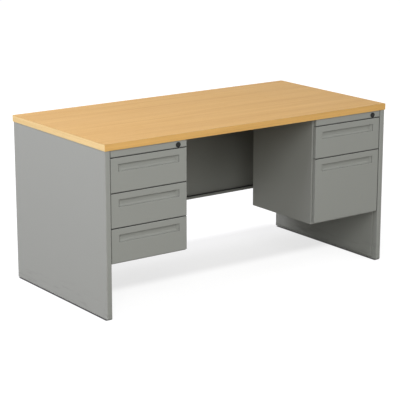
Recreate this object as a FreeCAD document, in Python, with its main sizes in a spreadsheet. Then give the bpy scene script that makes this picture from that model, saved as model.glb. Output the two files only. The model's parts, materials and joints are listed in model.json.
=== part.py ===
import FreeCAD, Part
import os
import re
import Sketcher

# Pedestal desk: a laminate top on two steel end panels, with a three-drawer pedestal on the left,
# a box-and-file pedestal on the right and a modesty panel across the back.
# X runs along the desk to the sitter's right, Y from the sitter to the back, Z up.
# The origin is on the floor under the middle of the top. All lengths are millimetres.

doc = FreeCAD.newDocument("pedestal_desk")

# Driving dimensions. Names that end in share are parts of the size they follow.
SIZES = {
    # Whole desk and its top
    "desk_width": "1524",
    "desk_depth": "762",
    "desk_height": "749.3",
    "top_thickness": "28.6",
    "laminate_thickness": "1.2",
    "laminate_round": "0.8",
    "band_thickness": "2",
    "top_reveal": "2",
    # End panels: a folded skin, and a liner that stands proud of the skin's inner flange
    "panel_thickness": "25.4",
    "panel_sheet": "1.2",
    "panel_round": "5",
    "panel_lift": "5",
    "liner_depth": "6",
    "liner_setback": "30",
    "liner_lift": "10",
    "flange_lap": "12",
    "drain_hole_radius": "2.5",
    "drain_hole_setback": "9",
    "drain_hole_rise": "50",
    # Levelling glides
    "glide_inset": "70",
    "glide_pad_radius": "11",
    "glide_pad_edge": "2",
    "glide_stem_radius": "4.5",
    "glide_travel": "25",
    "glide_gap": "0.3",
    "glide_hole_play": "0.5",
    "nut_height": "12",
    "nut_length": "30",
    "nut_play": "0.05",
    # Pedestal cases, measured from the end panel's inner face towards the knee space
    "pedestal_width": "388",
    "case_wall": "12",
    "case_sheet": "1",
    "case_depth": "430",
    "case_round": "3",
    "case_drop": "7.8",
    "floor_flange": "12",
    "back_flange": "10",
    # Lock rails and drawer fronts
    "front_recess": "4",
    "front_thickness": "16",
    "front_sheet": "1.2",
    "front_round": "2.5",
    "front_gap": "4",
    "front_side_gap": "2",
    "front_overlap": "5",
    "front_case_gap": "2",
    "front_lip": "24",
    "rail_height": "30.7",
    "box_front_height": "145.4",
    # Recessed finger pulls
    "pull_inset": "39",
    "pull_drop": "27",
    "pull_height": "31",
    "pull_backing": "3.5",
    "pull_round_share": "0.2",
    "pull_mouth_round": "1.5",
    # Drawer tubs
    "tub_sheet": "1",
    "tub_back_gap": "32",
    "tub_rise": "14",
    "tub_drop": "30",
    "hang_rail_height": "14",
    "hang_rail_wall": "2.5",
    "hang_rail_play": "0.15",
    "hang_rail_end_gap": "12",
    # Telescopic slides
    "slide_lane": "12.7",
    "slide_height": "38",
    "slide_sheet": "1.2",
    "slide_play": "0.4",
    "slide_setback": "12",
    "slide_end_gap": "1",
    "slide_rise": "60",
    # Locks, with the gang bar behind the drawers
    "lock_inset": "44",
    "lock_height_share": "0.41",
    "lock_face_radius": "9.5",
    "lock_face_proud": "1.6",
    "lock_body_radius": "7.5",
    "lock_body_length": "24",
    "lock_hole_play": "0.1",
    "plug_radius": "5.5",
    "plug_proud": "0.5",
    "plug_play": "0.05",
    "plug_length": "30",
    "key_slot_width": "1.6",
    "key_slot_height": "7",
    "key_slot_depth": "12",
    "rod_radius": "3",
    "crank_radius": "8",
    "crank_rest_share": "0.70711",
    "crank_disc_radius": "12",
    "crank_disc_thickness": "3",
    "crank_pin_radius": "2",
    "crank_gap": "4",
    "bar_thickness": "3",
    "bar_backing": "13",
    "bar_width": "28",
    "bar_head": "10",
    "bar_play": "0.6",
    "bar_tail": "60",
    "tooth_half_width": "5",
    "tooth_sheet": "3",
    "tooth_hook": "10",
    "tooth_lip": "2.5",
    "catch_half_width": "6",
    "catch_gap": "3",
    "catch_height": "14",
    "catch_sheet": "2",
    "catch_clearance": "2",
    "guide_wall": "2",
    "guide_play": "0.4",
    "guide_half_height": "7",
    "upper_guide_rise": "28",
    "lower_guide_drop": "45",
    # Modesty panel
    "modesty_setback": "52",
    "modesty_sheet": "1.2",
    "modesty_flange": "20",
    "modesty_lip": "8",
    "modesty_bottom": "242",
    # Fasteners and bumpers
    "bolt_radius": "3",
    "bolt_head_radius": "6",
    "bolt_head_height": "3",
    "bolt_length": "4.5",
    "bolt_play": "0.2",
    "bolt_edge": "70",
    "screw_radius": "2.5",
    "screw_head_radius": "3.5",
    "screw_head_height": "2.5",
    "screw_length": "20",
    "screw_play": "0.1",
    "panel_screw_setback": "180",
    "case_screw_setback": "60",
    "bumper_radius": "2",
    "bumper_gap": "0.3",
    "bumper_edge": "20",
    # Reach of every cut past the face it opens
    "overrun": "3",
}

# Places worked out from the driving dimensions, each from the ones before it.
PLACES = {
    "half_width": "desk_width / 2",
    "half_depth": "desk_depth / 2",
    "under_top": "desk_height - top_thickness",
    "under_laminate": "desk_height - laminate_thickness",
    # End panels
    "panel_outer": "half_width - top_reveal",
    "panel_inner": "panel_outer - panel_thickness",
    "panel_middle": "panel_outer - panel_thickness / 2",
    "panel_end": "half_depth - top_reveal",
    "liner_end": "panel_end - liner_setback",
    "liner_bottom": "panel_lift + liner_lift",
    "liner_face": "panel_inner - liner_depth",
    "glide_place": "panel_end - glide_inset",
    "glide_pad_height": "panel_lift - glide_gap",
    "nut_top": "panel_lift + panel_sheet + nut_height",
    # Drawer fronts from the front backwards
    "front_face": "front_recess - panel_end",
    "front_back": "front_face + front_thickness",
    "case_front": "front_back + front_case_gap",
    "case_back_face": "case_front + case_depth",
    "case_back_inner": "case_back_face - case_sheet",
    # Pedestals across the desk
    "case_inner": "pedestal_width - case_wall",
    "front_far_side": "case_inner + front_overlap",
    "tub_near_side": "liner_depth + slide_lane",
    "tub_far_side": "case_inner - slide_lane",
    # Pedestals from the top down
    "rail_bottom": "under_top - rail_height",
    "pitch": "box_front_height + front_gap",
    "pull_depth": "front_thickness - pull_backing",
    "fronts_bottom": "rail_bottom - 3 * pitch",
    "case_bottom": "fronts_bottom - case_drop",
    # Slides
    "slide_step": "slide_sheet + slide_play",
    "slide_start": "case_front + slide_setback",
    "tub_back": "case_back_face - tub_back_gap",
    "slide_end": "tub_back - slide_end_gap",
    # Locks
    "lock_height": "rail_bottom + rail_height * lock_height_share",
    "crank_offset": "crank_radius * crank_rest_share",
    "plug_back": "front_face + plug_length",
    "bar_back": "case_back_inner - bar_backing",
    "bar_front": "bar_back - bar_thickness",
    "bar_top": "lock_height + crank_offset + bar_head",
    "crank_back": "bar_front - crank_gap",
    "crank_front": "crank_back - crank_disc_thickness",
    "catch_back": "bar_front - catch_gap",
    "catch_front": "catch_back - catch_sheet",
    "hook_middle": "(tub_back + catch_front) / 2",
    "hook_front": "hook_middle - tooth_lip / 2",
    "hook_back": "hook_middle + tooth_lip / 2",
    # Modesty panel
    "modesty_back": "half_depth - modesty_setback",
    "modesty_front": "modesty_back - modesty_flange",
    "modesty_sill_top": "modesty_bottom + modesty_lip",
}

# The drawers of each pedestal from the top down, with the number of drawer spaces each one takes.
DRAWERS = {
    "left": [("top", 1), ("middle", 1), ("bottom", 1)],
    "right": [("top", 1), ("file", 2)],
}
SIDES = ("left", "right")
WALLS = ("panel", "knee")


def fill_sheet(name, rows, formula):
    """A spreadsheet with a name and a value on each row; the name is the value's alias."""
    made = doc.addObject("Spreadsheet::Sheet", name)
    for row, (alias, text) in enumerate(rows.items(), start=1):
        made.set(f"A{row}", alias)
        made.set(f"B{row}", formula(text))
        made.setAlias(f"B{row}", alias)
    return made


def linked(text):
    """A formula of plain names, with each name pointed at the sheet that holds it."""
    def point(match):
        word = match.group()
        if word in SIZES:
            return f"Sizes.{word}"
        if word in PLACES:
            return f"Places.{word}"
        return word
    return re.sub(r"[a-z][a-z_]*", point, text)


sizes = fill_sheet("Sizes", SIZES, lambda text: text)
places = fill_sheet("Places", PLACES, lambda text: "=" + linked(text))
doc.recompute()


def value(text):
    """The number that a formula gives now, for the few features that take no formula."""
    return float(sizes.evalExpression(linked(text)))


# The finished pieces, one for each file.
nodes = []


def finish(piece):
    nodes.append(piece)
    return piece


# Solids with formulas for sizes and places


def block(name, x, y, z):
    """A box between two places on each axis."""
    solid = doc.addObject("Part::Box", name)
    for axis, side, (low, high) in zip("xyz", ("Length", "Width", "Height"), (x, y, z)):
        solid.setExpression(f"Placement.Base.{axis}", linked(low))
        solid.setExpression(side, linked(f"({high}) - ({low})"))
    return solid


TURNS = {
    "x": FreeCAD.Rotation(FreeCAD.Vector(0, 1, 0), 90),
    "y": FreeCAD.Rotation(FreeCAD.Vector(1, 0, 0), -90),
    "z": FreeCAD.Rotation(),
}


def bar(name, along, radius, centre, span):
    """A round bar along one axis; centre gives its two other places in x, y, z order."""
    solid = doc.addObject("Part::Cylinder", name)
    solid.Placement = FreeCAD.Placement(FreeCAD.Vector(), TURNS[along])
    solid.setExpression("Radius", linked(radius))
    solid.setExpression("Height", linked(f"({span[1]}) - ({span[0]})"))
    start = dict(zip([axis for axis in "xyz" if axis != along], centre))
    start[along] = span[0]
    for axis, text in start.items():
        solid.setExpression(f"Placement.Base.{axis}", linked(text))
    return solid


def carve(name, base, *voids):
    """Base with every void cut out of it, one after the other."""
    for count, void in enumerate(voids, start=1):
        made = doc.addObject("Part::Cut", name if count == len(voids) else f"{name}_cut_{count}")
        made.Base = base
        made.Tool = void
        base = made
    return base


def join(name, *pieces):
    made = doc.addObject("Part::MultiFuse", name)
    made.Shapes = list(pieces)
    return made


def group(name, pieces):
    """Separate solids that share one node."""
    made = doc.addObject("Part::Compound", name)
    made.Links = list(pieces)
    return made


def soften(name, base, radius, pick):
    """Base with the picked edges rounded; pick gets the box of an edge and the box of the base."""
    doc.recompute()
    whole = base.Shape.BoundBox
    bend = value(radius)
    chosen = []
    for index, edge in enumerate(base.Shape.Edges, start=1):
        if pick(edge.BoundBox, whole):
            chosen.append((index, bend, bend))
    made = doc.addObject("Part::Fillet", name)
    made.Base = base
    made.Edges = chosen
    return made


def flat(length, whole):
    """True for a length that is nothing beside the piece."""
    return length < whole.DiagonalLength * 1e-6


def upright(edge, whole):
    return flat(edge.XLength, whole) and flat(edge.YLength, whole)


def around_foot(edge, whole):
    """The upright edges of an end panel and the edges at the two ends of its foot."""
    foot_end = flat(edge.YLength, whole) and flat(edge.ZMax - whole.ZMin, whole)
    return upright(edge, whole) or foot_end


def on_front(edge, whole):
    return flat(edge.YMax - whole.YMin, whole)


def on_top(edge, whole):
    return flat(whole.ZMax - edge.ZMin, whole)


def turned(name, outline, along, place):
    """A body turned from a closed outline of (radius, distance along the axis) corners."""
    body = doc.addObject("PartDesign::Body", name)
    sketch = body.newObject("Sketcher::SketchObject", f"{name}_outline")
    plane = [item for item in body.Origin.OriginFeatures if item.Role == "XZ_Plane"]
    sketch.AttachmentSupport = [(plane[0], "")]
    sketch.MapMode = "FlatFace"
    corners = [FreeCAD.Vector(value(radius), value(distance), 0) for radius, distance in outline]
    for index, corner in enumerate(corners):
        sketch.addGeometry(Part.LineSegment(corner, corners[(index + 1) % len(corners)]), False)
    for index in range(len(corners)):
        sketch.addConstraint(Sketcher.Constraint("Coincident", index, 2, (index + 1) % len(corners), 1))
    for index, place_texts in enumerate(outline):
        for kind, axis, text in zip(("DistanceX", "DistanceY"), (-2, -1), place_texts):
            if text == "0":
                sketch.addConstraint(Sketcher.Constraint("PointOnObject", index, 1, axis))
                continue
            spot = sketch.addConstraint(Sketcher.Constraint(kind, -1, 1, index, 1, value(text)))
            sketch.setExpression(f"Constraints[{spot}]", linked(text))
    doc.recompute()
    spin = body.newObject("PartDesign::Revolution", f"{name}_turn")
    spin.Profile = sketch
    spin.ReferenceAxis = (sketch, ["V_Axis"])
    spin.Angle = 360
    body.Placement = FreeCAD.Placement(FreeCAD.Vector(), TURNS[along])
    for axis, text in zip("xyz", place):
        body.setExpression(f"Placement.Base.{axis}", linked(text))
    return body


# Places across a pedestal: distances run from the end panel's inner face to the knee space


def outwards(side, distance):
    """A place across the desk, counted from its middle."""
    return f"-({distance})" if side == "left" else f"({distance})"


def inwards(side, distance):
    """A place across a pedestal, counted from the end panel's inner face."""
    return outwards(side, f"panel_inner - ({distance})")


def out_from(side, near, far):
    """Two places across the desk as low and high."""
    ends = outwards(side, near), outwards(side, far)
    return ends[::-1] if side == "left" else ends


def across(side, near, far):
    """Two places across a pedestal as low and high."""
    ends = inwards(side, near), inwards(side, far)
    return ends if side == "left" else ends[::-1]


def in_lane(side, wall, near, far):
    """Places in the narrow lane beside a drawer, counted from the wall that carries the slide."""
    if wall == "panel":
        return across(side, f"liner_depth + ({near})", f"liner_depth + ({far})")
    return across(side, f"case_inner - ({far})", f"case_inner - ({near})")


def lock_place(side):
    """Both locks sit near the right-hand end of their rail."""
    return f"{across(side, 'front_side_gap', 'front_far_side')[1]} - lock_inset"


def drawer_rows(side):
    """Each drawer of a pedestal as its name and the places of its front's bottom and top edges."""
    taken = 0
    for name, spaces in DRAWERS[side]:
        top = f"(rail_bottom - front_gap - {taken} * pitch)"
        taken += spaces
        bottom = f"(rail_bottom - {taken} * pitch)"
        yield name, bottom, top


def catch_top(drawer_top):
    """A catch's post stands as high as its tub's rim."""
    return f"({drawer_top} - tub_drop)"


# Desk top: a flake-board core, bands on its four edges and a laminate face over all


def screw_places():
    """Centres of the screws that hold the top, from the end panels and the case walls."""
    found = []
    for side in SIDES:
        for end in ("-", ""):
            found.append((outwards(side, "panel_middle"), f"{end}(panel_end - panel_screw_setback)"))
        case_x = inwards(side, "pedestal_width - (case_wall - case_sheet) / 2")
        found.append((case_x, "case_front + case_screw_setback"))
        found.append((case_x, "case_back_face - case_screw_setback"))
    return found


def screw_holes(name, low, high):
    """Clearance holes for the top's screws between two heights."""
    holes = []
    for count, centre in enumerate(screw_places(), start=1):
        holes.append(bar(f"{name}_{count}", "z", "screw_radius + screw_play", centre, (low, high)))
    return group(name, holes)


def make_top():
    inside = ("-half_width + band_thickness", "half_width - band_thickness")
    inside_depth = ("-half_depth + band_thickness", "half_depth - band_thickness")
    core_height = ("under_top", "under_laminate")
    core = block("top_core_board", inside, inside_depth, core_height)
    holes = screw_holes("top_core_holes", "under_top - overrun", "under_top + screw_length")
    finish(carve("top_core", core, holes))

    full_width = ("-half_width", "half_width")
    full_depth = ("-half_depth", "half_depth")
    ring = block("band_outside", full_width, full_depth, core_height)
    hollow = block("band_inside", inside, inside_depth, ("under_top - overrun", "desk_height"))
    finish(carve("top_edge_band", ring, hollow))

    face = block("laminate_sheet", full_width, full_depth, ("under_laminate", "desk_height"))
    finish(soften("top_laminate", face, "laminate_round", on_top))

    screws = []
    for count, centre in enumerate(screw_places(), start=1):
        sheet = "panel_sheet" if "panel_middle" in centre[0] else "case_sheet"
        seat = f"under_top - {sheet}"
        shank = bar(f"top_screw_shank_{count}", "z", "screw_radius", centre,
                    (seat, "under_top + screw_length"))
        head = bar(f"top_screw_head_{count}", "z", "screw_head_radius", centre,
                   (f"{seat} - screw_head_height", seat))
        screws.append(join(f"top_screw_{count}", shank, head))
    finish(group("top_screws", screws))


# End panels: a folded skin with a flange all round its inner face, and a tray-shaped liner on it


def modesty_bolt_places():
    """Heights and depth of the bolts that hold the modesty panel's end flanges to the liners."""
    depth = "modesty_front + modesty_flange / 2"
    heights = ("modesty_bottom + bolt_edge", "(modesty_bottom + under_top) / 2", "under_top - bolt_edge")
    return [(depth, height) for height in heights]


def make_end_panel(side):
    name = f"end_panel_skin_{side}"
    height = ("panel_lift", "under_top")
    shell = block(f"{name}_outside", out_from(side, "panel_inner", "panel_outer"),
                  ("-panel_end", "panel_end"), height)
    shell = soften(f"{name}_rounded", shell, "panel_round", around_foot)
    hollow = block(f"{name}_inside",
                   out_from(side, "panel_inner + panel_sheet", "panel_outer - panel_sheet"),
                   ("panel_sheet - panel_end", "panel_end - panel_sheet"),
                   ("panel_lift + panel_sheet", "under_top - panel_sheet"))
    hollow = soften(f"{name}_inside_rounded", hollow, "panel_round - panel_sheet", around_foot)
    window = block(f"{name}_window", out_from(side, "panel_inner - overrun", "panel_middle"),
                   ("flange_lap - liner_end", "liner_end - flange_lap"),
                   ("liner_bottom + flange_lap", "under_top - flange_lap"))
    middle = outwards(side, "panel_middle")
    holes = []
    for end, sign in (("front", "-"), ("back", "")):
        holes.append(bar(f"{name}_{end}_foot_hole", "z", "glide_stem_radius + glide_hole_play",
                         (middle, f"{sign}glide_place"), ("panel_lift - overrun", "panel_lift + overrun")))
        holes.append(bar(f"{name}_{end}_drain_hole", "x", "drain_hole_radius",
                         (f"{sign}(panel_end - drain_hole_setback)", "panel_lift + drain_hole_rise"),
                         out_from(side, "panel_inner - overrun", "panel_inner + overrun")))
    screws = screw_holes(f"{name}_screw_holes", "under_top - overrun", "under_top + overrun")
    finish(carve(name, shell, hollow, window, group(f"{name}_holes", holes), screws))

    name = f"end_panel_liner_{side}"
    tray = block(f"{name}_outside", out_from(side, "liner_face", "panel_inner"),
                 ("-liner_end", "liner_end"), ("liner_bottom", "under_top"))
    proud_half = value("panel_inner - liner_depth / 2")
    tray = soften(f"{name}_rounded", tray, "panel_sheet",
                  lambda edge, whole: upright(edge, whole) and abs(edge.XMin) < proud_half)
    hollow = block(f"{name}_inside", out_from(side, "liner_face + panel_sheet", "panel_inner + overrun"),
                   ("panel_sheet - liner_end", "liner_end - panel_sheet"),
                   ("liner_bottom + panel_sheet", "under_top - panel_sheet"))
    holes = []
    for count, centre in enumerate(modesty_bolt_places(), start=1):
        holes.append(bar(f"{name}_bolt_hole_{count}", "x", "bolt_radius + bolt_play", centre,
                         out_from(side, "liner_face - overrun", "liner_face + overrun")))
    finish(carve(name, tray, hollow, group(f"{name}_bolt_holes", holes)))


def make_glides():
    """A turned pad and stem at each foot, in a nut inside the end panel."""
    nuts = []
    for side in SIDES:
        middle = outwards(side, "panel_middle")
        for end, sign in (("front", "-"), ("back", "")):
            place = f"{sign}glide_place"
            outline = [
                ("0", "0"),
                ("glide_pad_radius - glide_pad_edge", "0"),
                ("glide_pad_radius", "glide_pad_edge"),
                ("glide_pad_radius", "glide_pad_height"),
                ("glide_stem_radius", "glide_pad_height"),
                ("glide_stem_radius", "nut_top + glide_travel"),
                ("0", "nut_top + glide_travel"),
            ]
            finish(turned(f"glide_{end}_{side}", outline, "z", (middle, place, "0")))
            name = f"glide_nut_{end}_{side}"
            nut = block(f"{name}_block",
                        out_from(side, "panel_inner + panel_sheet", "panel_outer - panel_sheet"),
                        (f"{place} - nut_length / 2", f"{place} + nut_length / 2"),
                        ("panel_lift + panel_sheet", "nut_top"))
            bore = bar(f"{name}_bore", "z", "glide_stem_radius + nut_play", (middle, place),
                       ("panel_lift", "nut_top + overrun"))
            nuts.append(carve(name, nut, bore))
    finish(group("glide_nuts", nuts))


# Modesty panel: a sheet across the back with flanges folded forwards and a lip turned down from its sill


def make_modesty_panel():
    """The panel between the liners, laid out as flat plates that meet along its folds."""
    flange_face = "liner_face - modesty_sheet"
    inside = (f"-({flange_face})", flange_face)
    depth = ("modesty_front", "modesty_back - modesty_sheet")
    sill_under = "modesty_sill_top - modesty_sheet"
    height = (sill_under, "under_top")
    plates = [
        block("modesty_face", ("-liner_face", "liner_face"),
              ("modesty_back - modesty_sheet", "modesty_back"), height),
        block("modesty_sill", inside, depth, (sill_under, "modesty_sill_top")),
        block("modesty_head", inside, depth, ("under_top - modesty_sheet", "under_top")),
        block("modesty_lip_strip", inside, ("modesty_front", "modesty_front + modesty_sheet"),
              ("modesty_bottom", sill_under)),
    ]
    bolts = []
    for side in SIDES:
        end = block(f"modesty_end_{side}", out_from(side, flange_face, "liner_face"), depth, height)
        holes = []
        for count, centre in enumerate(modesty_bolt_places(), start=1):
            name = f"modesty_bolt_{side}_{count}"
            holes.append(bar(f"{name}_hole", "x", "bolt_radius + bolt_play", centre,
                             out_from(side, f"{flange_face} - overrun", "liner_face + overrun")))
            shank = bar(f"{name}_shank", "x", "bolt_radius", centre,
                        out_from(side, flange_face, f"{flange_face} + bolt_length"))
            cap = bar(f"{name}_head", "x", "bolt_head_radius", centre,
                      out_from(side, f"{flange_face} - bolt_head_height", flange_face))
            bolts.append(join(name, shank, cap))
        plates.append(carve(f"modesty_end_{side}_drilled", end, *holes))
    finish(group("modesty_panel", plates))
    finish(group("modesty_bolts", bolts))


# Pedestal cases: a double knee-side wall, a back and a floor; the end panel closes the other side


def make_case(side):
    depth = ("case_front", "case_back_face")
    height = ("case_bottom", "under_top")
    name = f"case_side_{side}"
    shell = block(f"{name}_outside", across(side, "case_inner + case_sheet", "pedestal_width"), depth, height)
    knee_half = value("panel_inner - pedestal_width + case_wall / 2")

    def knee_edge(edge, whole):
        return upright(edge, whole) and abs(edge.XMin) < knee_half

    shell = soften(f"{name}_rounded", shell, "case_round", knee_edge)
    hollow = block(f"{name}_inside", across(side, "case_inner", "pedestal_width - case_sheet"),
                   ("case_front + case_sheet", "case_back_inner"),
                   ("case_bottom + case_sheet", "under_top - case_sheet"))
    hollow = soften(f"{name}_inside_rounded", hollow, "case_round - case_sheet", knee_edge)
    screws = screw_holes(f"{name}_screw_holes", "under_top - overrun", "under_top + overrun")
    finish(carve(name, shell, hollow, screws))

    finish(block(f"case_liner_{side}", across(side, "case_inner", "case_inner + case_sheet"), depth, height))

    name = f"case_floor_{side}"
    inside = across(side, "liner_depth", "case_inner")
    tray = block(f"{name}_outside", inside, depth, ("case_bottom", "case_bottom + floor_flange"))
    hollow = block(f"{name}_inside", across(side, "liner_depth + case_sheet", "case_inner - case_sheet"),
                   ("case_front + case_sheet", "case_back_inner"),
                   ("case_bottom + case_sheet", "case_bottom + floor_flange + overrun"))
    finish(carve(name, tray, hollow))

    name = f"case_back_{side}"
    pan = block(f"{name}_outside", inside, ("case_back_face - back_flange", "case_back_face"),
                ("case_bottom + floor_flange", "under_top"))
    hollow = block(f"{name}_inside", across(side, "liner_depth + case_sheet", "case_inner - case_sheet"),
                   ("case_back_face - back_flange - overrun", "case_back_inner"),
                   ("case_bottom + floor_flange + case_sheet", "under_top - case_sheet"))
    finish(carve(name, pan, hollow))

    name = f"lock_rail_{side}"
    span = across(side, "front_side_gap", "front_far_side")
    channel = block(f"{name}_outside", span, ("front_face", "case_front"), ("rail_bottom", "under_top"))
    channel = soften(f"{name}_rounded", channel, "front_round", on_front)
    hollow = block(f"{name}_inside",
                   across(side, "front_side_gap + front_sheet", "front_far_side - front_sheet"),
                   ("front_face + front_sheet", "case_front + overrun"),
                   ("rail_bottom + front_sheet", "under_top - front_sheet"))
    hole = bar(f"{name}_lock_hole", "y", "lock_body_radius + lock_hole_play",
               (lock_place(side), "lock_height"), ("front_face - overrun", "front_face + overrun"))
    finish(carve(name, channel, hollow, hole))


# Locks: a housing in the rail, a plug that turns a rod, and a bar with a tooth behind each drawer


def make_lock(side):
    lock_x = lock_place(side)
    axis = (lock_x, "lock_height")
    name = f"lock_housing_{side}"
    collar = bar(f"{name}_collar", "y", "lock_face_radius", axis,
                 ("front_face - lock_face_proud", "front_face"))
    barrel = bar(f"{name}_barrel", "y", "lock_body_radius", axis,
                 ("front_face", "front_face + lock_body_length"))
    bore = bar(f"{name}_bore", "y", "plug_radius + plug_play", axis,
               ("front_face - lock_face_proud - overrun", "front_face + lock_body_length + overrun"))
    finish(carve(name, join(f"{name}_solid", collar, barrel), bore))

    name = f"lock_plug_{side}"
    plug_front = "front_face - lock_face_proud - plug_proud"
    plug = bar(f"{name}_core", "y", "plug_radius", axis, (plug_front, "plug_back"))
    slot = block(f"{name}_slot", (f"{lock_x} - key_slot_width / 2", f"{lock_x} + key_slot_width / 2"),
                 (f"{plug_front} - overrun", f"{plug_front} + key_slot_depth"),
                 ("lock_height - key_slot_height / 2", "lock_height + key_slot_height / 2"))
    finish(carve(name, plug, slot))

    name = f"lock_rod_{side}"
    shaft = bar(f"{name}_shaft", "y", "rod_radius", axis, ("plug_back", "crank_front"))
    disc = bar(f"{name}_disc", "y", "crank_disc_radius", axis, ("crank_front", "crank_back"))
    pin = bar(f"{name}_pin", "y", "crank_pin_radius",
              (f"{lock_x} + crank_offset", "lock_height + crank_offset"), ("crank_back", "bar_back"))
    finish(join(name, shaft, disc, pin))

    name = f"lock_bar_{side}"
    teeth = []
    for drawer, bottom, top in drawer_rows(side):
        hook_bottom = f"{catch_top(top)} + catch_clearance"
        width = (f"{lock_x} - tooth_half_width", f"{lock_x} + tooth_half_width")
        arm = block(f"{name}_{drawer}_arm", width, ("hook_front", "bar_front"),
                    (f"{hook_bottom} + tooth_hook", f"{hook_bottom} + tooth_hook + tooth_sheet"))
        hook = block(f"{name}_{drawer}_hook", width, ("hook_front", "hook_back"),
                     (hook_bottom, f"{hook_bottom} + tooth_hook"))
        teeth += [arm, hook]
    lowest_hook = hook_bottom
    strip = block(f"{name}_strip", (f"{lock_x} - bar_width / 2", f"{lock_x} + bar_width / 2"),
                  ("bar_front", "bar_back"), (f"{lowest_hook} - bar_tail", "bar_top"))
    slot = block(f"{name}_slot",
                 (f"{lock_x} + crank_offset - crank_pin_radius - bar_play",
                  f"{lock_x} + crank_radius + crank_pin_radius + bar_play"),
                 ("bar_front - overrun", "bar_back + overrun"),
                 ("lock_height + crank_offset - crank_pin_radius - bar_play",
                  "lock_height + crank_offset + crank_pin_radius + bar_play"))
    finish(group(name, [carve(f"{name}_slotted", strip, slot), *teeth]))

    guides = []
    first_top = next(drawer_rows(side))[2]
    heights = {
        "upper": f"{catch_top(first_top)} + upper_guide_rise",
        "lower": f"{lowest_hook} - lower_guide_drop",
    }
    for level, height in heights.items():
        name = f"lock_guide_{level}_{side}"
        half = "(bar_width / 2 + guide_play)"
        shoe = block(f"{name}_block", (f"{lock_x} - {half} - guide_wall", f"{lock_x} + {half} + guide_wall"),
                     ("bar_front - guide_play - guide_wall", "case_back_inner"),
                     (f"{height} - guide_half_height", f"{height} + guide_half_height"))
        path = block(f"{name}_path", (f"{lock_x} - {half}", f"{lock_x} + {half}"),
                     ("bar_front - guide_play", "bar_back + guide_play"),
                     (f"{height} - guide_half_height - overrun", f"{height} + guide_half_height + overrun"))
        guides.append(carve(name, shoe, path))
    finish(group(f"lock_guides_{side}", guides))


# Slides: three channels nested in the lane beside each drawer, counted from the fixed one inwards


def slide_member(name, side, wall, height, length, nested):
    """A channel; the fixed and middle ones open to the drawer, the drawer's own opens to the wall."""
    half = f"slide_height / 2 - {nested} * slide_step"
    web = f"{nested} * slide_step"
    if nested == 2:
        reach = (web, "slide_lane")
        inside = (f"{web} - overrun", "slide_lane - slide_sheet")
    else:
        reach = (web, "slide_lane - slide_play")
        inside = (f"{web} + slide_sheet", "slide_lane + overrun")
    solid = block(f"{name}_outside", in_lane(side, wall, *reach), length,
                  (f"{height} - ({half})", f"{height} + {half}"))
    hollow = block(f"{name}_inside", in_lane(side, wall, *inside),
                   (f"{length[0]} - overrun", f"{length[1]} + overrun"),
                   (f"{height} - ({half} - slide_sheet)", f"{height} + {half} - slide_sheet"))
    return carve(name, solid, hollow)


# Drawers: a front pan with a recessed finger pull, a tub with a catch, and the moving slides


def make_front(name, side, bottom, top):
    span = across(side, "front_side_gap", "front_far_side")
    panel = block(f"{name}_outside", span, ("front_face", "front_back"), (bottom, top))
    panel = soften(f"{name}_rounded", panel, "front_round", on_front)
    hollow = block(f"{name}_inside",
                   across(side, "front_side_gap + front_sheet", "front_far_side - front_sheet"),
                   ("front_face + front_sheet", "front_back - front_sheet"),
                   (f"{bottom} + front_sheet", f"{top} - front_sheet"))
    window = block(f"{name}_window", across(side, "front_side_gap + front_lip", "front_far_side - front_lip"),
                   ("front_back - front_thickness / 2", "front_back + overrun"),
                   (f"{bottom} + front_lip", f"{top} - front_lip"))
    pan = carve(f"{name}_pan", panel, hollow, window)

    pull_top = f"{top} - pull_drop"
    pull_bottom = f"{pull_top} - pull_height"
    mouth = across(side, "front_side_gap + pull_inset", "front_far_side - pull_inset")
    trough = block(f"{name}_trough", (f"{mouth[0]} - front_sheet", f"{mouth[1]} + front_sheet"),
                   ("front_face + front_sheet", "front_face + pull_depth + front_sheet"),
                   (f"{pull_bottom} - front_sheet", f"{pull_top} + front_sheet"))
    scoop = block(f"{name}_scoop", mouth, ("front_face - overrun", "front_face + pull_depth"),
                  (pull_bottom, pull_top))
    scoop = soften(f"{name}_scoop_rounded", scoop, "pull_depth * pull_round_share", lambda edge, whole:
                   flat(whole.YMax - edge.YMin, whole) and not flat(whole.ZMax - edge.ZMin, whole))
    pulled = carve(f"{name}_pulled", join(f"{name}_with_trough", pan, trough), scoop)
    doc.recompute()
    opening = scoop.Shape.BoundBox
    margin = value("overrun")

    def around_mouth(edge, whole):
        inside_x = edge.XMin > opening.XMin - margin and edge.XMax < opening.XMax + margin
        inside_z = edge.ZMin > opening.ZMin - margin and edge.ZMax < opening.ZMax + margin
        return on_front(edge, whole) and inside_x and inside_z

    finish(soften(name, pulled, "pull_mouth_round", around_mouth))


def make_tub(name, side, bottom, top):
    lock_x = lock_place(side)
    floor_height = f"{bottom} + tub_rise"
    rim_height = f"{top} - tub_drop"
    box = block(f"{name}_outside", across(side, "tub_near_side", "tub_far_side"), ("front_back", "tub_back"),
                (floor_height, rim_height))
    hollow = block(f"{name}_inside", across(side, "tub_near_side + tub_sheet", "tub_far_side - tub_sheet"),
                   ("front_back + tub_sheet", "tub_back - tub_sheet"),
                   (f"{floor_height} + tub_sheet", f"{rim_height} + overrun"))
    hook_top = catch_top(top)
    width = (f"{lock_x} - catch_half_width", f"{lock_x} + catch_half_width")
    leg = block(f"{name}_catch_leg", width, ("tub_back", "catch_back"),
                (f"{hook_top} - catch_height", f"{hook_top} - catch_height + catch_sheet"))
    post = block(f"{name}_catch_post", width, ("catch_front", "catch_back"),
                 (f"{hook_top} - catch_height + catch_sheet", hook_top))
    finish(group(name, [carve(f"{name}_box", box, hollow), leg, post]))


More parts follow.
